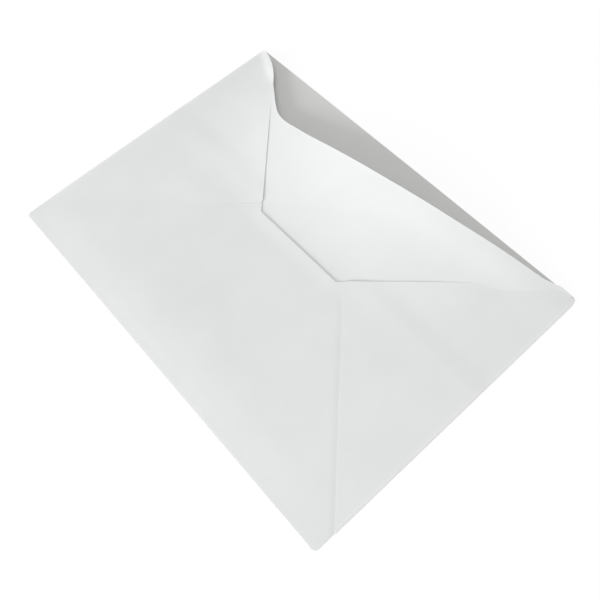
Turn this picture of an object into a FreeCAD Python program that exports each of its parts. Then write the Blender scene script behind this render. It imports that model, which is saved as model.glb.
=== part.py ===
import FreeCAD, Part
import math
import os

from FreeCAD import Vector

# A paper envelope lying on its address side, with its flaps up and its mouth slit open.
# It is one sheet of paper: a front panel, two side flaps, a bottom flap and a top flap,
# each turned over its own fold and glued where it lies on the next one.
# Lengths are in millimetres. Plan points are measured from the left and the bottom fold.

# The folded envelope
length = 165.0            # along the long edges
height = 120.5            # along the short edges
paper = 0.25              # thickness of the sheet
pocket = 0.5              # room between the front panel and the layer above it
tack = 0.05               # how far a glued layer is pressed into the one below
corner_radius = 1.7       # the four outer corners, seen in plan
corner_gap = 2.2          # from a corner to where the sheet turns over at a fold
cut_setback = 0.3         # beside a fold, the panel's cut edge lies this far inside the outline
tip_radius = 1.2          # the cut corners of the flaps, seen in plan

# Side flaps, cut at 45 degrees
side_foot = 8.5           # from the bottom fold to where a side flap starts
left_head = 8.4           # how far the line of its upper edge passes outside the top corner
right_head = 7.2          # the same on the right flap, which is folded a little lower
shoulder_slope = 0.35     # fall of the shoulder away from the top corner
shoulder_radius = 40.0    # bend between the shoulder and the 45 degree edge
shoulder_corner = 1.2     # the shoulder's end at the top corner
glue_width = 12.0         # measured along the fold, hidden under a side flap

# Bottom flap
bottom_reach = 65.9       # from the bottom fold to the flap's free edge
bottom_ear = 0.3          # its cut corners lie this far inside the side flaps' edges

# Top flap and the mouth that was slit into it
top_tuck = 10.5           # how far the top flap runs under the bottom flap
hinge_run = 12.5          # the top fold is whole this far from the right side fold's outside
lip_drop = 1.1            # the slit ends this far inside the top fold's outside
lip_slope = 0.196         # the slit falls away from the top fold at this slope
mouth_corner = 37.2       # from the left fold to the turn of the slit
mouth_radius = 17.0       # the turn of the slit
horn_slope = 0.68         # past the turn the slit climbs at this slope
horn_end = 14.0           # from the left fold, under the left flap

# The back bows up towards the mouth
mouth_lift = 9.0          # the highest point, on the line of the top fold
rise_left = 1.6           # larger keeps the left of the back flatter
rise_right = 2.4          # larger keeps the right of the back flatter
lift_start = 0.45         # share of the height that stays flat

# Underside of each layer, the lowest first
top_level = paper + pocket
bottom_level = top_level + paper - tack
side_level = bottom_level + paper - tack

# From the left fold to where the top fold is whole
hinge_start = length - hinge_run

# Outer radius of each fold, which wraps from the floor to the top of its layer
side_fold = (side_level + paper) / 2
bottom_fold = (bottom_level + paper) / 2
top_fold = (top_level + paper) / 2


def bow(x, y):
    """Height of the bowed back over its flat place: a skewed hump across, a soft step along."""
    peak = rise_left / (rise_left + rise_right)
    across = min(max(x / length, 0.0), 1.0)
    hump = across ** rise_left * (1 - across) ** rise_right
    hump /= peak ** rise_left * (1 - peak) ** rise_right
    along = min(max((y / height - lift_start) / (1 - lift_start), 0.0), 1.0)
    return mouth_lift * hump * along ** 2 * (3 - 2 * along)


def bowed_sheet(underside):
    """A sheet over the whole envelope that follows the bow, with its underside at this level."""
    columns = 23
    rows = 19
    grid = []
    for i in range(columns):
        x = length * i / (columns - 1)
        line = []
        for j in range(rows):
            y = height * j / (rows - 1)
            line.append(Vector(x, y, underside + bow(x, y)))
        grid.append(line)
    surface = Part.BSplineSurface()
    surface.interpolate(grid)
    return surface.toShape().extrude(Vector(0, 0, paper))


def rounded_face(corners):
    """A flat face from corners (x, y, radius), each turned by an arc of its radius."""
    arcs = []
    count = len(corners)
    for i, (x, y, radius) in enumerate(corners):
        here = Vector(x, y, 0)
        back = (Vector(*corners[i - 1][:2], 0) - here).normalize()
        ahead = (Vector(*corners[(i + 1) % count][:2], 0) - here).normalize()
        if radius == 0:
            arcs.append((here, None, here))
            continue
        half = math.acos(max(-1.0, min(1.0, back.dot(ahead)))) / 2
        reach = radius / math.tan(half)
        centre = here + (back + ahead).normalize() * (radius / math.sin(half))
        middle = centre + (here - centre).normalize() * radius
        arcs.append((here + back * reach, middle, here + ahead * reach))
    edges = []
    for i, (start, middle, end) in enumerate(arcs):
        if middle is not None:
            edges.append(Part.Arc(start, middle, end).toShape())
        following = arcs[(i + 1) % count][0]
        if (following - end).Length > 1e-6:
            edges.append(Part.LineSegment(end, following).toShape())
    return Part.Face(Part.Wire(edges))


def mirrored(corners):
    """The same corners on the right-hand half, in reverse order."""
    return [(length - x, y, radius) for x, y, radius in reversed(corners)]


def cut_from_sheet(corners, underside):
    """A flap: the bowed sheet at its level, cut to the outline."""
    blade = rounded_face(corners).extrude(Vector(0, 0, mouth_lift + 4 * side_level))
    return bowed_sheet(underside).common(blade)


def fold_strip(radius, run):
    """The turn of the sheet at a fold along +Y: half a ring that bulges towards -X."""
    inner = radius - paper
    outside = Part.Arc(Vector(radius, 0, 0), Vector(0, 0, radius), Vector(radius, 0, 2 * radius))
    inside = Part.Arc(
        Vector(radius, 0, radius + inner),
        Vector(paper, 0, radius),
        Vector(radius, 0, paper),
    )
    upper = Part.LineSegment(Vector(radius, 0, 2 * radius), Vector(radius, 0, radius + inner))
    lower = Part.LineSegment(Vector(radius, 0, paper), Vector(radius, 0, 0))
    edges = [part.toShape() for part in (outside, upper, inside, lower)]
    return Part.Face(Part.Wire(edges)).extrude(Vector(0, run, 0))


def front_panel():
    """The address side, flat on the floor, drawn in by each fold's radius where it turns over."""
    right = length - cut_setback
    outline = [
        (corner_gap, cut_setback, 0),
        (corner_gap, bottom_fold, 0),
        (length - corner_gap, bottom_fold, 0),
        (length - corner_gap, cut_setback, 0),
        (right, cut_setback, corner_radius),
        (right, side_foot, 0),
        (length - side_fold, side_foot, 0),
        (length - side_fold, height - corner_gap, 0),
        (right, height - corner_gap, 0),
        (right, height, corner_radius),
        (length - corner_gap, height, 0),
        (length - corner_gap, height - top_fold, 0),
        (hinge_start, height - top_fold, 0),
        (hinge_start, height, 0),
        (cut_setback, height, corner_radius),
        (cut_setback, height - corner_gap, 0),
        (side_fold, height - corner_gap, 0),
        (side_fold, side_foot, 0),
        (cut_setback, side_foot, 0),
        (cut_setback, cut_setback, corner_radius),
    ]
    return rounded_face(outline).extrude(Vector(0, 0, paper))


def side_flap_outline(head):
    """A left flap: up its 45 degree foot, over the tip, up to the shoulder at the top corner."""
    upper_sum = height + head
    tip_x = (upper_sum - side_foot) / 2
    shoulder_x = (upper_sum - height) / (1 - shoulder_slope)
    return [
        (side_fold, side_foot + side_fold, 0),
        (tip_x, tip_x + side_foot, tip_radius),
        (shoulder_x, upper_sum - shoulder_x, shoulder_radius),
        (cut_setback, height - shoulder_slope * cut_setback, shoulder_corner),
        (cut_setback, height - corner_gap, 0),
        (side_fold, height - corner_gap, 0),
    ]


def side_flap(corners):
    """One side flap on top of all the other layers."""
    return cut_from_sheet(corners, side_level)


def bottom_half(head):
    """Left half of the bottom flap: out to the corner at its fold, then up to its free edge."""
    ear_sum = height + head - bottom_ear
    hidden = side_foot + glue_width
    ear_x = (ear_sum - hidden) / 2
    open_side = side_foot - cut_setback
    return [
        (corner_gap, bottom_fold, 0),
        (corner_gap, cut_setback, 0),
        (cut_setback, cut_setback, corner_radius),
        (cut_setback, open_side, 0),
        (corner_gap, open_side, 0),
        (corner_gap, corner_gap + hidden, tip_radius),
        (ear_x, ear_sum - ear_x, tip_radius),
        (ear_sum - bottom_reach, bottom_reach, 0),
    ]


def bottom_flap():
    """The bottom flap, with its ears at 45 degrees under the side flaps."""
    outline = mirrored(bottom_half(right_head)) + bottom_half(left_head)
    return cut_from_sheet(outline, bottom_level)


def top_flap():
    """The top flap under the others, from its fold at the right corner to the slit."""
    hidden_sum = height + min(left_head, right_head) - glue_width
    tuck_y = bottom_reach - top_tuck
    lip_end = height - lip_drop
    turn_y = lip_end - lip_slope * (hinge_start - mouth_corner)
    horn_y = turn_y + horn_slope * (mouth_corner - horn_end)
    right_x = length - corner_gap
    corners = [
        (hinge_start, height - top_fold, 0),
        (hinge_start, lip_end, 0),
        (mouth_corner, turn_y, mouth_radius),
        (horn_end, horn_y, 0),
        ((hidden_sum - horn_y + horn_end) / 2, (hidden_sum + horn_y - horn_end) / 2, 0),
        (hidden_sum - tuck_y, tuck_y, tip_radius),
        (length - hidden_sum + tuck_y, tuck_y, tip_radius),
        (right_x, hidden_sum - corner_gap, 0),
        (right_x, height - top_fold, 0),
    ]
    return cut_from_sheet(corners, top_level)


def folds():
    """The turns of the sheet: both sides, the bottom, and what is left of the top fold."""
    side_run = height - corner_gap - side_foot
    left = fold_strip(side_fold, side_run)
    left.translate(Vector(0, side_foot, 0))
    right = left.mirror(Vector(length / 2, 0, 0), Vector(1, 0, 0))
    bottom = fold_strip(bottom_fold, length - 2 * corner_gap)
    bottom.rotate(Vector(0, 0, 0), Vector(0, 0, 1), 90)
    bottom.translate(Vector(length - corner_gap, 0, 0))
    top = fold_strip(top_fold, length - corner_gap - hinge_start)
    top.rotate(Vector(0, 0, 0), Vector(0, 0, 1), -90)
    top.translate(Vector(hinge_start, height, 0))
    return [left, right, bottom, top]


layers = [
    top_flap(),
    bottom_flap(),
    side_flap(side_flap_outline(left_head)),
    side_flap(mirrored(side_flap_outline(right_head))),
]
sheet = front_panel().fuse(layers + folds())
envelope = sheet.removeSplitter()
envelope.translate(Vector(-length / 2, -height / 2, 0))

os.makedirs("parts", exist_ok=True)
solid = envelope.Solids[0]
solid.exportStep("parts/envelope.step")
box = solid.BoundBox
print("solids", len(envelope.Solids), "valid", solid.isValid(), "volume", round(solid.Volume, 1))
print("size", round(box.XLength, 2), round(box.YLength, 2), round(box.ZLength, 2), "low", round(box.ZMin, 4))
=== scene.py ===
import bpy
import numpy as np
from mathutils import Matrix, Vector


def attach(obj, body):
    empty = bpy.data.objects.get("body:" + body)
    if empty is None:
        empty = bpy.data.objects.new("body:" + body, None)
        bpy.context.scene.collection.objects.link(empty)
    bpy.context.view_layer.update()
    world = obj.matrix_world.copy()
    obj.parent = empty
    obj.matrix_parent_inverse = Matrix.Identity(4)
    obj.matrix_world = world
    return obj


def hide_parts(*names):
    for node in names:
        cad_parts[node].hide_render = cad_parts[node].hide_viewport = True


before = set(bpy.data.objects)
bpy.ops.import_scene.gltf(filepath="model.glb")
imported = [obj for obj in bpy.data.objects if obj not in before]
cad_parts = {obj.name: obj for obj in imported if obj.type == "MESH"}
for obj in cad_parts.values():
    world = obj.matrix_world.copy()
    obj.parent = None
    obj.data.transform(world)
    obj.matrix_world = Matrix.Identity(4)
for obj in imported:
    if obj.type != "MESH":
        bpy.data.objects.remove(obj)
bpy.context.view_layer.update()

# A white paper envelope, flaps up, with its mouth slit open.
# Millimetres; plan points are measured from the left fold and the bottom fold.

sheet = {
    "length": 165.0,
    "height": 120.5,
    "paper": 0.25,          # thickness
    "pocket": 0.5,          # room inside, where the back lies flat
    "tack": 0.05,           # a glued layer is pressed this far into the one below
    "arcPoints": 14,        # round a corner, seen in plan
    "sharpAngle": 50.0,     # degrees: the rim shades sharp and the folds smooth
}
topLevel = sheet["paper"] + sheet["pocket"]
bottomLevel = topLevel + sheet["paper"] - sheet["tack"]
sideLevel = bottomLevel + sheet["paper"] - sheet["tack"]


def smoothStep(t):
    # 0 below 0, 1 above 1, and 3t^2 - 2t^3 between
    t = np.clip(t, 0, 1)
    return t * t * (3 - 2 * t)


def ramp(t, band):
    # smooth step from 0 to 1 over a band, given as its start and its width
    return smoothStep((t - band[0]) / band[1])


def fade(distance, reach):
    # exp(-(distance/reach)^2)
    return np.exp(-(distance / reach) ** 2)


# The back bows up towards the mouth
bowed = {
    "height": 10.6,         # rules how far the back stands up
    "left": 1.6,            # larger keeps the left of the back flatter
    "right": 2.15,          # larger keeps the right of the back flatter
    "start": 0.5,           # share of the height that stays flat
    "open": 0.7,            # 0 levels off at the mouth, 1 goes on rising
    "gain": 1.2,            # weight of the part that goes on rising
}


def bow(x, y):
    # height times a hump across, s^a (1-s)^b scaled to a peak of 1,
    # times a rise along y, (1-m) q^2 (3-2q) + g m q^2
    a, b, m = bowed["left"], bowed["right"], bowed["open"]
    s = np.clip(x / sheet["length"], 0, 1)
    peak = a / (a + b)
    hump = s ** a * (1 - s) ** b / (peak ** a * (1 - peak) ** b)
    q = np.clip((y / sheet["height"] - bowed["start"]) / (1 - bowed["start"]), 0, 1)
    rise = (1 - m) * q ** 2 * (3 - 2 * q) + bowed["gain"] * m * q ** 2
    return bowed["height"] * hump * rise


# The stack is pressed together, most at its folds
press = {
    "flat": 0.3,            # away from the folds
    "depth": 0.5,           # at a fold
    "reach": 14.0,          # from a fold to where its hold ends
}


def pressed(x, y):
    # flat + (depth - flat) (1 - (1-a)(1-b)(1-c)), where a, b and c fall by a smooth step
    # from 1 at the left, right or bottom fold to 0 at reach
    a, b, c = [1 - smoothStep(d / press["reach"]) for d in (x, sheet["length"] - x, y)]
    near = 1 - (1 - a) * (1 - b) * (1 - c)
    return press["flat"] + (press["depth"] - press["flat"]) * near


# Shallow swells in the hand-folded back
swells = {
    "margin": 6.0,          # they rise from nothing over this distance from a side or bottom fold
    "hills": [              # plan centre, reach along x and y, height
        (70.0, 16.0, 42.0, 15.0, 0.34),
        (118.0, 44.0, 26.0, 20.0, 0.10),
        (34.0, 62.0, 24.0, 30.0, 0.16),
        (140.0, 74.0, 20.0, 26.0, 0.18),
        (150.0, 130.0, 18.0, 20.0, 0.5),        # the right corner stays puffed up
        (142.0, 115.0, 14.0, 10.0, 0.3),
        (10.0, 121.0, 12.0, 10.0, 0.5),         # and so does the left flap's shoulder
    ],
}


def swell(x, y):
    # sum of hills h exp(-(dx/rx)^2 - (dy/ry)^2), times a smooth step away from
    # the left, the right and the bottom fold
    total = sum(
        h * np.exp(-((x - cx) / rx) ** 2 - ((y - cy) / ry) ** 2)
        for cx, cy, rx, ry, h in swells["hills"]
    )
    for distance in (x, sheet["length"] - x, y):
        total = total * smoothStep(distance / swells["margin"])
    return total


def straight(start, end, step):
    # evenly spaced points from start to end, at most step apart
    count = max(2, int(np.ceil(np.linalg.norm(end - start) / step)) + 1)
    return start + np.linspace(0, 1, count)[:, None] * (end - start)


def roundedPath(corners, step):
    # straight runs between corners (x, y, radius), each corner turned by an arc:
    # centre + radius (side sin(turn) - inward cos(turn))
    points = np.array([c[:2] for c in corners], float)
    runs = []
    last = points[0]
    for i in range(1, len(corners) - 1):
        here, radius = points[i], corners[i][2]
        back = (points[i - 1] - here) / np.linalg.norm(points[i - 1] - here)
        ahead = (points[i + 1] - here) / np.linalg.norm(points[i + 1] - here)
        half = np.arccos(np.clip(back @ ahead, -1, 1)) / 2
        reach = radius / np.tan(half)
        start, end = here + back * reach, here + ahead * reach
        runs.append(straight(last, start, step)[:-1])
        if radius > 0:
            inward = (back + ahead) / np.linalg.norm(back + ahead)
            centre = here + inward * radius / np.sin(half)
            sweep = np.pi - 2 * half
            turn = np.linspace(-sweep / 2, sweep / 2, sheet["arcPoints"])[:-1, None]
            side = (end - start) / np.linalg.norm(end - start)
            runs.append(centre + radius * (-inward * np.cos(turn) + side * np.sin(turn)))
        last = end
    runs.append(straight(last, points[-1], step))
    return np.concatenate(runs)


def mirrored(path):
    # the same points on the right-hand half
    return path * np.array([-1, 1]) + np.array([sheet["length"], 0])


def gaps(path):
    # distance from each point to the next
    return np.linalg.norm(np.diff(path, axis=0), axis=1)


def alongPath(path):
    # share of the whole length at each point, from 0 to 1
    run = np.concatenate([[0], np.cumsum(gaps(path))])
    return run / run[-1]


def matched(path, share, own=None):
    # the points of path at these shares; own holds the shares of its points,
    # which go by its length where none are given
    own = alongPath(path) if own is None else own
    return np.stack([np.interp(share, own, path[:, 0]), np.interp(share, own, path[:, 1])], 1)


def ruled(startEdge, freeEdge, across, dense=1.0):
    # straight lines from one edge to the other: P = A + t (B - A), with t = 1 - (1-u)^dense
    u = np.linspace(0, 1, across)
    t = (1 - (1 - u) ** dense)[None, :, None]
    return startEdge[:, None, :] * (1 - t) + freeEdge[:, None, :] * t


def rowDistance(plan, column):
    # distance of each point from the point of its own row in this column
    return np.linalg.norm(plan - plan[:, column, None], axis=2)


# The turned folds and the painted highlight along them
crease = {
    "steps": 16,            # round a fold
    "inset": 0.505,         # the sheet's middle lies this share of the paper inside the fold
    "highlightReach": 0.8,       # beside a fold the painted highlight falls off over this distance
    "highlightBeside": 0.6,      # strength of the painted highlight there, against 1 on the fold
}
foldTurn = np.linspace(0, np.pi, crease["steps"] + 1)[:-1]


def foldArc(start, high, outward, bulge):
    # half an ellipse round the fold, from low, the panel's middle, to high, the flap's:
    # z = (low + high)/2 - (high - low)/2 cos(turn), pushed outward by bulge sin(turn)
    low = sheet["paper"] / 2
    z = (low + high)[:, None] / 2 - (high - low)[:, None] / 2 * np.cos(foldTurn)
    push = bulge * np.sin(foldTurn)[:, None] * np.array(outward, float)
    return np.dstack([start[:, None, :] + push, z])


def flapMiddle(plan, lift, level, outward, fold):
    # the fold's arc, then the flap: z = level + paper/2 + bow + swell - pressed + lift;
    # the painted highlight is sin(turn) on the arc and falls off as exp(-distance/highlightReach)
    # beside it
    x, y = plan[..., 0], plan[..., 1]
    z = level + sheet["paper"] / 2 + bow(x, y) + swell(x, y) - pressed(x, y) + lift
    arc = foldArc(plan[:, 0], z[:, 0], outward, fold - crease["inset"] * sheet["paper"])
    onArc = np.repeat(np.sin(foldTurn)[None, :], len(plan), 0)
    beside = crease["highlightBeside"] * np.exp(-rowDistance(plan, 0) / crease["highlightReach"])
    return np.concatenate([arc, np.dstack([plan, z])], 1), np.concatenate([onArc, beside], 1)


def surfaceNormal(grid):
    # unit normal of a grid surface: cross product of its two gradients
    normal = np.cross(np.gradient(grid, axis=1), np.gradient(grid, axis=0))
    return normal / np.maximum(np.linalg.norm(normal, axis=2, keepdims=True), 1e-12)


def thickened(middle, folded):
    # the sheet's two faces, M + n p/2 and M - n p/2 from its middle M, and the rim between;
    # rows that aren't folded keep only the part past the fold's arc
    rows, columns = middle.shape[:2]
    normal = surfaceNormal(middle)
    kept = np.ones((rows - 1, columns - 1), bool)
    if folded is not None:
        arc = crease["steps"]
        normal[~folded, arc:] = surfaceNormal(middle[:, arc:])[~folded]
        kept[~(folded[:-1] & folded[1:]), :arc] = False
    down = normal[rows // 2, -1, 2] < 0
    if down:
        normal = -normal
    half = normal * sheet["paper"] / 2
    centre = np.array([sheet["length"] / 2, sheet["height"] / 2, 0])
    points = np.concatenate([middle + half - centre, middle - half - centre]).reshape(-1, 3)
    count = rows * columns
    index = np.arange(count).reshape(rows, columns)
    corners = [index[:-1, :-1], index[:-1, 1:], index[1:, 1:], index[1:, :-1]]
    outer = np.stack([c[kept] for c in corners], 1)
    if not down:
        outer = outer[:, ::-1]
    start, end = outer.ravel(), np.roll(outer, -1, axis=1).ravel()
    lone = ~np.isin(start * count + end, end * count + start)       # edges of one face only
    start, end = start[lone], end[lone]
    rim = np.stack([end, start, start + count, end + count], 1)
    faces = np.concatenate([outer, outer[:, ::-1] + count, rim])
    used, faces = np.unique(faces, return_inverse=True)
    return points[used] / 1000, faces.reshape(-1, 4), used, len(rim)


def addValues(mesh, name, domain, values):
    attribute = mesh.attributes.new(name, "FLOAT", domain)
    attribute.data.foreach_set("value", values.astype(np.float32))


def sheetPiece(name, middle, highlight, folded=None, insideUp=False):
    # a field of the sheet, marked with its cut edges (painted darker, as shade), its inner face
    # and its folds (painted lighter, as highlight)
    points, faces, used, rimFaces = thickened(middle, folded)
    mesh = bpy.data.meshes.new(name)
    mesh.vertices.add(len(points))
    mesh.vertices.foreach_set("co", points.astype(np.float32).ravel())
    mesh.loops.add(faces.size)
    mesh.loops.foreach_set("vertex_index", faces.ravel().astype(np.int32))
    mesh.polygons.add(len(faces))
    mesh.polygons.foreach_set("loop_start", np.arange(0, faces.size, 4, dtype=np.int32))
    mesh.polygons.foreach_set("loop_total", np.full(len(faces), 4, np.int32))
    mesh.update(calc_edges=True)
    mesh.validate()
    mesh.shade_smooth()
    mesh.set_sharp_from_angle(angle=np.radians(sheet["sharpAngle"]))
    underside = used >= highlight.size
    # cutEdgeShade marks the rim faces, which the material paints darker as shade
    addValues(mesh, "cutEdgeShade", "FACE", np.arange(len(faces)) >= len(faces) - rimFaces)
    addValues(mesh, "inside", "POINT", underside != insideUp)
    addValues(mesh, "foldHighlight", "POINT", np.tile(highlight.ravel(), 2)[used])
    piece = bpy.data.objects.new(name, mesh)
    bpy.context.scene.collection.objects.link(piece)
    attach(piece, "root")
    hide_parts("envelope")
    piece.data.materials.append(paperLook)
    print(name, len(mesh.polygons), "faces")


def addNode(tree, kind, inputs=None, **settings):
    # a node with these settings; an input takes a value, or a link where it gets an output
    made = tree.nodes.new(kind)
    for name, value in settings.items():
        setattr(made, name, value)
    for name, value in (inputs or {}).items():
        if isinstance(value, bpy.types.NodeSocket):
            tree.links.new(value, made.inputs[name])
        else:
            made.inputs[name].default_value = value
    return made


def emptyMaterial(name):
    look = bpy.data.materials.new(name)
    look.use_nodes = True
    look.node_tree.nodes.clear()
    return look


# Finish of the paper
finish = {
    "white": (0.84, 0.846, 0.85, 1),
    # the inner face is greyer than the outer face
    "inside": (0.74, 0.75, 0.73, 1),
    # painted shade: the cut edges get this darker grey so that they read as dark seam lines
    "edge": (0.52, 0.52, 0.52, 1),
    # painted highlight: the folds are lightened towards this white
    "highlit": (0.97, 0.97, 0.97, 1),
    "roughness": 0.78,
    "specular": 0.35,
    "cloud": (45.0, 5.0, 0.6),          # uneven density: noise scale, detail and roughness
    "cloudRange": (0.3, 0.7),           # this range of the noise
    "cloudTone": (0.975, 1.01),         # becomes this range of tone
    "specks": (420.0, 3.0, 0.5),        # they break up the painted fold highlight
    "fibre": (1400.0, 4.0, 0.5),
    "grain": (0.35, 1.0, 1.0),          # the fibres lie mostly along x
    "relief": 0.10,
    "reliefDepth": 0.00008,             # metres
}


def paperNoise(tree, place, kind):
    scale, detail, roughness = finish[kind]
    inputs = {"Scale": scale, "Detail": detail, "Roughness": roughness, "Vector": place}
    return addNode(tree, "ShaderNodeTexNoise", inputs).outputs["Fac"]


def mixedBy(tree, share, first, second):
    # first where the share is 0, second where it is 1
    inputs = {"Factor": share, "A": first, "B": second}
    return addNode(tree, "ShaderNodeMix", inputs, data_type="RGBA").outputs["Result"]


def marked(tree, name):
    return addNode(tree, "ShaderNodeAttribute", attribute_name=name).outputs["Fac"]


def paperMaterial():
    look = emptyMaterial("wovePaper")
    tree = look.node_tree
    place = addNode(tree, "ShaderNodeTexCoord").outputs["Object"]
    tone = addNode(tree, "ShaderNodeMapRange", {
        "From Min": finish["cloudRange"][0],
        "From Max": finish["cloudRange"][1],
        "To Min": finish["cloudTone"][0],
        "To Max": finish["cloudTone"][1],
        "Value": paperNoise(tree, place, "cloud"),
    })
    sides = mixedBy(tree, marked(tree, "inside"), finish["white"], finish["inside"])
    tinted = addNode(tree, "ShaderNodeVectorMath", operation="SCALE", inputs={
        0: sides,
        "Scale": tone.outputs["Result"],
    })
    # painted highlight along the folds, broken up by the specks
    speckledHighlight = addNode(tree, "ShaderNodeMath", operation="MULTIPLY", inputs={
        0: marked(tree, "foldHighlight"),
        1: paperNoise(tree, place, "specks"),
    })
    highlit = mixedBy(tree, speckledHighlight.outputs["Value"], tinted.outputs["Vector"], finish["highlit"])
    stretch = addNode(tree, "ShaderNodeMapping", {"Vector": place, "Scale": finish["grain"]})
    relief = addNode(tree, "ShaderNodeBump", {
        "Strength": finish["relief"],
        "Distance": finish["reliefDepth"],
        "Height": paperNoise(tree, stretch.outputs["Vector"], "fibre"),
    })
    shader = addNode(tree, "ShaderNodeBsdfPrincipled", {
        # painted shade: the rim faces take the darker edge grey
        "Base Color": mixedBy(tree, marked(tree, "cutEdgeShade"), highlit, finish["edge"]),
        "Roughness": finish["roughness"],
        "Specular IOR Level": finish["specular"],
        "Normal": relief.outputs["Normal"],
    })
    addNode(tree, "ShaderNodeOutputMaterial", {"Surface": shader.outputs["BSDF"]})
    return look


paperLook = paperMaterial()

# Front panel, flat on the floor; the flaps share its corners and folds
panel = {
    "cut": 0.3,             # its cut edges lie this far inside the outline
    "radius": 1.7,          # outer corners
    "gap": 2.2,             # from a corner to where the sheet turns over
    "sideFold": 0.45,       # from the outline to where the sheet starts to turn
    "bottomFold": 0.35,
    "topFold": 0.35,
    "foot": 8.5,            # from the bottom fold to where the side folds start
    "hinge": 157.5,         # from here to the right corner the top fold is whole
    "strayFrom": 100.0,     # past here the cut along the top strays inwards
    "stray": 0.3,
    "sideRun": 2.4,         # the lower and the upper edge take in this much of each side
    "notch": 0.05,          # along an edge, the step from the cut to a fold takes this much
    "drawn": 4.0,           # what the side folds draw in fades out over this distance
    "drawnEnds": 0.3,       # and over this much at their ends
    "step": 1.2,            # between points along an edge
    "across": 120,          # points on a line from edge to edge
}


def panelPiece():
    # straight lines from the lower to the upper edge, drawn in beside the side folds
    # by (sideFold - cut) max(0, 1 - distance/drawn)
    cut, gap, radius, notch = panel["cut"], panel["gap"], panel["radius"], panel["notch"]
    run, length, top = panel["sideRun"], sheet["length"], sheet["height"]
    right = length - cut
    lower = roundedPath([
        (cut, run, 0),
        (cut, cut, radius),
        (gap, cut, 0),
        (gap + notch, panel["bottomFold"], 0),
        (length - gap - notch, panel["bottomFold"], 0),
        (length - gap, cut, 0),
        (right, cut, radius),
        (right, run, 0),
    ], panel["step"])
    upper = roundedPath([
        (cut, top - run, 0),
        (cut, top, radius),
        (panel["strayFrom"], top, 0),
        (panel["hinge"], top - panel["stray"], 0),
        (panel["hinge"] + notch, top - panel["topFold"], 0),
        (length - gap - notch, top - panel["topFold"], 0),
        (length - gap, top, 0),
        (right, top, radius),
        (right, top - run, 0),
    ], panel["step"])
    both = np.concatenate([alongPath(lower), alongPath(upper)])
    share = np.unique(np.round(both, 5))        # without near doubles
    plan = ruled(matched(lower, share), matched(upper, share), panel["across"])
    x, y = plan[..., 0], plan[..., 1]
    ends = panel["drawnEnds"]
    beside = ramp(y, (panel["foot"], ends)) * (1 - ramp(y, (top - gap, ends)))
    inset = (panel["sideFold"] - cut) * beside
    fromLeft = np.clip(1 - (x - cut) / panel["drawn"], 0, 1)
    fromRight = np.clip(1 - (right - x) / panel["drawn"], 0, 1)
    x = x + inset * fromLeft - inset * fromRight
    middle = np.stack([x, y, np.full(x.shape, sheet["paper"] / 2)], 2)
    sheetPiece("frontPanel", middle, np.zeros(x.shape), insideUp=True)


# Side flaps, cut at 45 degrees, uppermost; each band is a start and a width along y
sideFlap = {
    "tip": 1.2,                     # radius of its rounded point
    "shoulderSlope": 0.35,
    "shoulderRadius": 40.0,
    "footRun": (0.15, 0.1),         # the free edge starts this far from the fold's foot
    "headRun": 1.4,                 # and ends this far from the top corner
    "cornerRun": 1.2,               # past the fold, the start edge turns the corner and ends here
    "cornerRadius": 1.0,
    "notch": 0.02,                  # the step from the fold to the cut takes this much
    "step": 0.8,                    # between points along the free edge
    "foldStep": 0.5,
    "across": 84,                   # points from the fold to the free edge
    "dense": 1.5,                   # over 1 gathers them at the free edge
    "gapeBand": (-3.0, 6.0),        # from the tip's height
    "gapeReach": 5.0,
    "tuckBand": (-22.0, 14.0),      # from the tip's height
    "tuckReach": 12.0,
    "flushReach": 6.0,
    "curlBand": (108.0, 7.0),
    "curlReach": 4.0,
    "sink": 0.19,                   # above the bottom flap it lies straight on the top flap
    "sinkBand": (70.0, 9.0),
    "left": {
        "edgeSum": 128.9,           # x + y along the upper 45 degree edge
        "gape": 0.04,
        "tuck": 0.19,
        "flush": 0.2,
        "flushBand": (90.0, 14.0),
        "curl": 0.85,
    },
    "right": {
        "edgeSum": 127.7,           # with x from the right fold
        "gape": 0.0,
        "tuck": 0.08,
        "flush": 0.17,
        "flushBand": (84.0, 20.0),
        "curl": 0.0,
    },
}


def sideEdges(edgeSum):
    # a left flap's start edge, its free edge, and which rows turn over the fold
    fold, foot, cut = panel["sideFold"], panel["foot"], panel["cut"]
    slope, run, corner = sideFlap["shoulderSlope"], sideFlap["headRun"], sideFlap["cornerRun"]
    tipX = (edgeSum - foot) / 2
    top = sheet["height"] - panel["gap"]
    shoulderX = (edgeSum - sheet["height"]) / (1 - slope)
    cornerY = sheet["height"] - slope * cut
    edge = roundedPath([
        (fold + sideFlap["footRun"][0], foot + fold + sideFlap["footRun"][1], 0),
        (tipX, tipX + foot, sideFlap["tip"]),
        (shoulderX, edgeSum - shoulderX, sideFlap["shoulderRadius"]),
        (cut + run, cornerY - run * slope, 0),
    ], sideFlap["step"])
    start = roundedPath([
        (fold, foot, 0),
        (fold, top, 0),
        (cut, top + sideFlap["notch"], 0),
        (cut, cornerY, sideFlap["cornerRadius"]),
        (cut + corner, cornerY - corner * slope, 0),
    ], sideFlap["foldStep"])
    start = matched(start, alongPath(edge))
    return start, edge, start[:, 1] <= top + sideFlap["notch"] / 2


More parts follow.
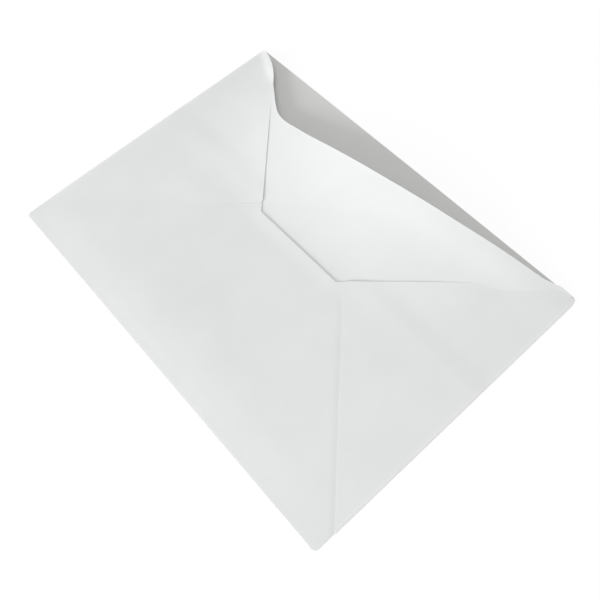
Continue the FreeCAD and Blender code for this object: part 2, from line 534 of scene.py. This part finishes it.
def sidePiece(name, stance, side):
    # the free edge stands off by gape above the tip and is pressed down by tuck below it;
    # the shoulder is pressed down by flush, and past the horn it curls up by curl;
    # each is times a smooth step along y and exp(-(d/reach)^2), d from the free edge
    start, edge, folded = sideEdges(stance["edgeSum"])
    if side > 0:
        start, edge = mirrored(start), mirrored(edge)
    plan = ruled(start, edge, sideFlap["across"], sideFlap["dense"])
    y, distance = plan[..., 1], rowDistance(plan, -1)
    fromTip = y - (stance["edgeSum"] + panel["foot"]) / 2
    shoulder = ramp(y, stance["flushBand"])
    above = ramp(fromTip, sideFlap["gapeBand"]) * (1 - shoulder)
    below = 1 - ramp(fromTip, sideFlap["tuckBand"])
    horn = ramp(y, sideFlap["curlBand"])
    lift = stance["gape"] * above * fade(distance, sideFlap["gapeReach"])
    lift += stance["curl"] * horn * fade(distance, sideFlap["curlReach"])
    lift -= sideFlap["sink"] * ramp(y, sideFlap["sinkBand"])
    lift -= stance["tuck"] * below * fade(distance, sideFlap["tuckReach"])
    lift -= stance["flush"] * shoulder * fade(distance, sideFlap["flushReach"])
    middle, highlight = flapMiddle(plan, lift, sideLevel, (side, 0), panel["sideFold"])
    sheetPiece(name, middle, highlight, folded)


# Bottom flap, under the side flaps; each band is a start and a width along x
bottomFlap = {
    "reach": 65.9,                  # from the bottom fold to the straight free edge
    "hidden": 20.5,                 # y - x along its ears' hidden edges
    "ear": 0.3,                     # its ears end this far inside the side flaps' upper edges
    "tip": 1.2,                     # radius of its cut corners
    "openFrom": 2.2,                # its open sides run from here to the side folds' foot
    "stepIn": (0.25, 0.1),          # there it steps in, across and up
    "stepRadius": 0.1,
    "stepTo": 3.0,                  # and runs up this far before it slants away
    "stepToRadius": 0.5,
    "cornerFrom": 2.1,              # its corner rows start this far up the side
    "notch": 0.02,                  # the step from the cut to the fold takes this much
    "tolerance": 0.001,
    "step": 0.9,                    # between points along the free edge
    "cornerStep": 0.4,
    "across": 90,                   # points from the fold to the free edge
    "dense": 1.4,                   # over 1 gathers them at the free edge
    "gape": 0.15,                   # its straight edge stands off
    "gapeBand": (58.0, 5.0),
    "gapeEndBand": (102.0, 5.0),
    "gapeReach": 4.0,
    "valleyReach": 1.3,
    "valleyRight": 0.13,            # it dips where it goes under the right flap
    "valleyRightBand": (100.0, 20.0),
    "valleyLeft": 0.07,
    "valleyLeftBand": (44.0, 12.0),
}


def bottomHalf(edgeSum):
    # corners of one half, measured from its own side: up the open side, then under the side flap
    cut, gap, foot, hidden = panel["cut"], panel["gap"], panel["foot"], bottomFlap["hidden"]
    inX, inY = bottomFlap["stepIn"]
    earSum = edgeSum - bottomFlap["ear"]
    earX = (earSum - hidden) / 2
    return [
        (cut, bottomFlap["openFrom"], 0),
        (cut, foot, bottomFlap["stepRadius"]),
        (cut + inX, foot + inY, bottomFlap["stepRadius"]),
        (cut + inX, foot + bottomFlap["stepTo"], bottomFlap["stepToRadius"]),
        (gap, gap + hidden, bottomFlap["tip"]),
        (earX, earSum - earX, bottomFlap["tip"]),
        (earSum - bottomFlap["reach"], bottomFlap["reach"], 0),
    ]


def bottomEdges():
    # the start edge (round a corner, along the fold, round the other corner), the free edge,
    # and which rows turn over the fold
    gap, cut, length = panel["gap"], panel["cut"], sheet["length"]
    left = bottomHalf(sideFlap["left"]["edgeSum"])
    right = bottomHalf(sideFlap["right"]["edgeSum"])
    right = [(length - x, y, radius) for x, y, radius in reversed(right)]
    edge = roundedPath(left + right, bottomFlap["step"])
    corner = roundedPath([
        (cut, bottomFlap["cornerFrom"], 0),
        (cut, cut, panel["radius"]),
        (gap - bottomFlap["notch"], cut, 0),
        (gap, panel["bottomFold"], 0),
    ], bottomFlap["cornerStep"])
    start = np.concatenate([corner, mirrored(corner)[::-1]])
    # the corners' rows take the open sides at both ends of the edge, the fold takes the rest
    openShare = (panel["foot"] - bottomFlap["openFrom"]) / gaps(edge).sum()
    cornerShare = alongPath(corner) * openShare
    startShare = np.concatenate([cornerShare, (1 - cornerShare)[::-1]])
    both = np.concatenate([alongPath(edge), startShare])
    share = np.unique(np.round(both, 6))        # without near doubles
    start = matched(start, share, startShare)
    first = gap - bottomFlap["tolerance"]
    folded = (start[:, 0] >= first) & (start[:, 0] <= length - first)
    return start, matched(edge, share), folded


def bottomPiece():
    # the straight free edge stands off by gape exp(-(d/reach)^2), d from that edge;
    # the flap dips along the side flaps' lower edges by valley exp(-(d/reach)^2), d from the seam
    start, edge, folded = bottomEdges()
    plan = ruled(start, edge, bottomFlap["across"], bottomFlap["dense"])
    x, y = plan[..., 0], plan[..., 1]
    inMiddle = ramp(x, bottomFlap["gapeBand"]) * (1 - ramp(x, bottomFlap["gapeEndBand"]))
    rightSeam = (sheet["length"] + panel["foot"] - x - y) / 2 ** 0.5
    leftSeam = (x + panel["foot"] - y) / 2 ** 0.5
    right = fade(rightSeam, bottomFlap["valleyReach"]) * ramp(x, bottomFlap["valleyRightBand"])
    left = fade(leftSeam, bottomFlap["valleyReach"]) * ramp(x, bottomFlap["valleyLeftBand"])
    lift = bottomFlap["gape"] * inMiddle * fade(rowDistance(plan, -1), bottomFlap["gapeReach"])
    lift -= bottomFlap["valleyRight"] * right + bottomFlap["valleyLeft"] * left
    middle, highlight = flapMiddle(plan, lift, bottomLevel, (0, -1), panel["bottomFold"])
    sheetPiece("bottomFlap", middle, highlight, folded)


# Top flap, under the other three: the slit runs from its fold at the right corner
# to a turn and a horn; each band is a start and a width along x
topFlap = {
    "tuck": 10.5,                   # how far it runs under the bottom flap
    "hidden": 115.7,                # x + y along its sides, under the side flaps
    "tip": 1.2,                     # radius of its hidden corners
    "drop": 1.44,                   # the slit ends this far inside the outline
    "slope": 0.182,
    "taper": 5.0,                   # it runs up to the fold over this distance
    "taperRadius": 8.0,
    "turnX": 36.5,
    "turnRadius": 14.0,
    "hornSlope": 0.68,
    "hornEnd": 14.0,
    "waver": [                      # the slit leaves its straight line: x, reach, by
        (20.0, 7.0, 0.6),
        (40.0, 9.0, 1.0),
        (92.0, 26.0, -0.42),
        (131.0, 11.0, 0.26),
    ],
    "curl": 0.3,                    # its lip curls up
    "curlBand": (42.0, 16.0),
    "curlEndBand": (-20.0, 20.0),   # from the hinge
    "curlReach": 9.0,
    "curlRight": 0.4,               # and more towards the right
    "curlRightBand": (80.0, 30.0),
    "tolerance": 0.01,
    "step": 0.8,                    # between points along an edge
    "across": 90,                   # points from the slit to the hidden edge
}


def topEdges():
    # the slit with the whole bit of fold, and the hidden edge, both from left to right
    top, gap, hinge = sheet["height"] - panel["topFold"], panel["gap"], panel["hinge"]
    slope, hidden, taper = topFlap["slope"], topFlap["hidden"], topFlap["taper"]
    hornEnd, turnX, right = topFlap["hornEnd"], topFlap["turnX"], sheet["length"] - gap
    lipEnd = sheet["height"] - topFlap["drop"]
    turnY = lipEnd - slope * (hinge - turnX)
    hornY = turnY + topFlap["hornSlope"] * (turnX - hornEnd)
    tuckY = bottomFlap["reach"] - topFlap["tuck"]
    upper = roundedPath([
        (hornEnd, hornY, 0),
        (turnX, turnY, topFlap["turnRadius"]),
        (hinge - taper, lipEnd - taper * slope, topFlap["taperRadius"]),
        (hinge, top, 0),
        (right, top, 0),
    ], topFlap["step"])
    lower = roundedPath([
        ((hidden - hornY + hornEnd) / 2, (hidden + hornY - hornEnd) / 2, 0),
        (hidden - tuckY, tuckY, topFlap["tip"]),
        (sheet["length"] - hidden + tuckY, tuckY, topFlap["tip"]),
        (right, hidden - gap, 0),
    ], topFlap["step"])
    upper[:, 1] += sum(by * fade(upper[:, 0] - x, reach) for x, reach, by in topFlap["waver"])
    upper[:, 1] = np.minimum(upper[:, 1], top)
    return upper, matched(lower, alongPath(upper))


def topPiece():
    # the lip curls up by curl exp(-(d/reach)^2), d the distance below the slit
    upper, lower = topEdges()
    plan = ruled(upper, lower, topFlap["across"])
    x, y = plan[..., 0], plan[..., 1]
    below = np.interp(x, upper[:, 0], upper[:, 1]) - y
    curl = topFlap["curl"] + topFlap["curlRight"] * ramp(x, topFlap["curlRightBand"])
    ended = ramp(x - panel["hinge"], topFlap["curlEndBand"])
    window = ramp(x, topFlap["curlBand"]) * (1 - ended)
    lift = curl * window * fade(below, topFlap["curlReach"])
    middle, highlight = flapMiddle(plan, lift, topLevel, (0, 1), panel["topFold"])
    folded = upper[:, 0] > panel["hinge"] + topFlap["tolerance"]
    sheetPiece("topFlap", middle, highlight, folded)


panelPiece()
sidePiece("leftFlap", sideFlap["left"], -1)
sidePiece("rightFlap", sideFlap["right"], 1)
bottomPiece()
topPiece()
print("sheet folded")

# Floor, world, lamps; metres and watts
studio = {
    "ambient": 0.42,
    "overWatts": 4.9,
    "overFrom": (0.0, -0.1, 1.3),
    "overSize": 1.2,
    "keyWatts": 35.5,
    "keyFrom": (0.06, -1.93, 0.52),
    "keySize": 0.9,
    "floorSize": 3.0,       # from the middle to each side
    "floorDrop": 0.00008,
    "floorGlow": 0.90,      # the camera sees it glow,
    "floorGrey": 0.12,      # with a faint grey that takes the shadows
    "floorBounce": 0.92,    # its plain grey as it lights the paper
}


def grey(level):
    return (level, level, level, 1)


def seenRay(tree):
    # 1 for a ray from the camera or off a gloss, 0 for the rest
    path = addNode(tree, "ShaderNodeLightPath")
    either = addNode(tree, "ShaderNodeMath", operation="MAXIMUM", inputs={
        0: path.outputs["Is Camera Ray"],
        1: path.outputs["Is Glossy Ray"],
    })
    return either.outputs[0]


def floorPiece():
    size, z = studio["floorSize"], -studio["floorDrop"]
    mesh = bpy.data.meshes.new("floor")
    corners = [(-size, -size, z), (size, -size, z), (size, size, z), (-size, size, z)]
    mesh.from_pydata(corners, [], [(0, 1, 2, 3)])
    floor = bpy.data.objects.new("floor", mesh)
    bpy.context.scene.collection.objects.link(floor)
    look = emptyMaterial("paleFloor")
    tree = look.node_tree
    glow = addNode(tree, "ShaderNodeEmission", {"Strength": studio["floorGlow"]})
    faint = addNode(tree, "ShaderNodeBsdfDiffuse", {"Color": grey(studio["floorGrey"])})
    both = addNode(tree, "ShaderNodeAddShader", {0: glow.outputs[0], 1: faint.outputs[0]})
    plain = addNode(tree, "ShaderNodeBsdfDiffuse", {"Color": grey(studio["floorBounce"])})
    pick = addNode(tree, "ShaderNodeMixShader", {
        0: seenRay(tree),
        1: plain.outputs[0],
        2: both.outputs[0],
    })
    addNode(tree, "ShaderNodeOutputMaterial", {"Surface": pick.outputs[0]})
    mesh.materials.append(look)


def softLamp(name, size, watts, place):
    # a round lamp at its place, whose -Z points at the origin
    lamp = bpy.data.lights.new(name, "AREA")
    lamp.shape = "DISK"
    lamp.size = size
    lamp.energy = watts
    lampObject = bpy.data.objects.new(name, lamp)
    lampObject.location = place
    lampObject.rotation_euler = Vector(place).to_track_quat("Z", "Y").to_euler()
    bpy.context.scene.collection.objects.link(lampObject)


def light():
    world = bpy.data.worlds.new("paleRoom")
    bpy.context.scene.world = world
    world.use_nodes = True
    tree = world.node_tree
    sky = tree.nodes["Background"]
    sky.inputs["Color"].default_value = grey(1)
    level = addNode(tree, "ShaderNodeMapRange", {
        "To Min": studio["ambient"],
        "To Max": 1.0,
        "Value": seenRay(tree),
    })
    tree.links.new(level.outputs["Result"], sky.inputs["Strength"])
    softLamp("softKey", studio["keySize"], studio["keyWatts"], studio["keyFrom"])
    softLamp("overhead", studio["overSize"], studio["overWatts"], studio["overFrom"])


# Camera, placed so that the four corners fall as in the picture
camera = {
    "place": (0.103423, -0.066003, 0.210632),
    "right": (0.66324, 0.7455, -0.06596),
    "down": (0.6521, -0.61889, -0.4379),
    "forward": (-0.36727, 0.24742, -0.8966),
    "lens": 40.286,
    "sensor": 36.0,
    "clip": (0.01, 20.0),
}


def setCamera():
    data = bpy.data.cameras.new("view")
    data.lens = camera["lens"]
    data.sensor_width = camera["sensor"]
    data.clip_start, data.clip_end = camera["clip"]
    eye = bpy.data.objects.new("view", data)
    bpy.context.scene.collection.objects.link(eye)
    axes = np.array([camera["right"], camera["down"], camera["forward"]])
    axes[1:] *= -1                              # up and backward
    turn = np.eye(4)
    turn[:3, :3] = axes.T
    turn[:3, 3] = camera["place"]
    eye.matrix_world = Matrix(turn.tolist())
    bpy.context.scene.camera = eye


floorPiece()
light()
setCamera()
bpy.context.scene.view_settings.view_transform = "Standard"
print("studio ready")
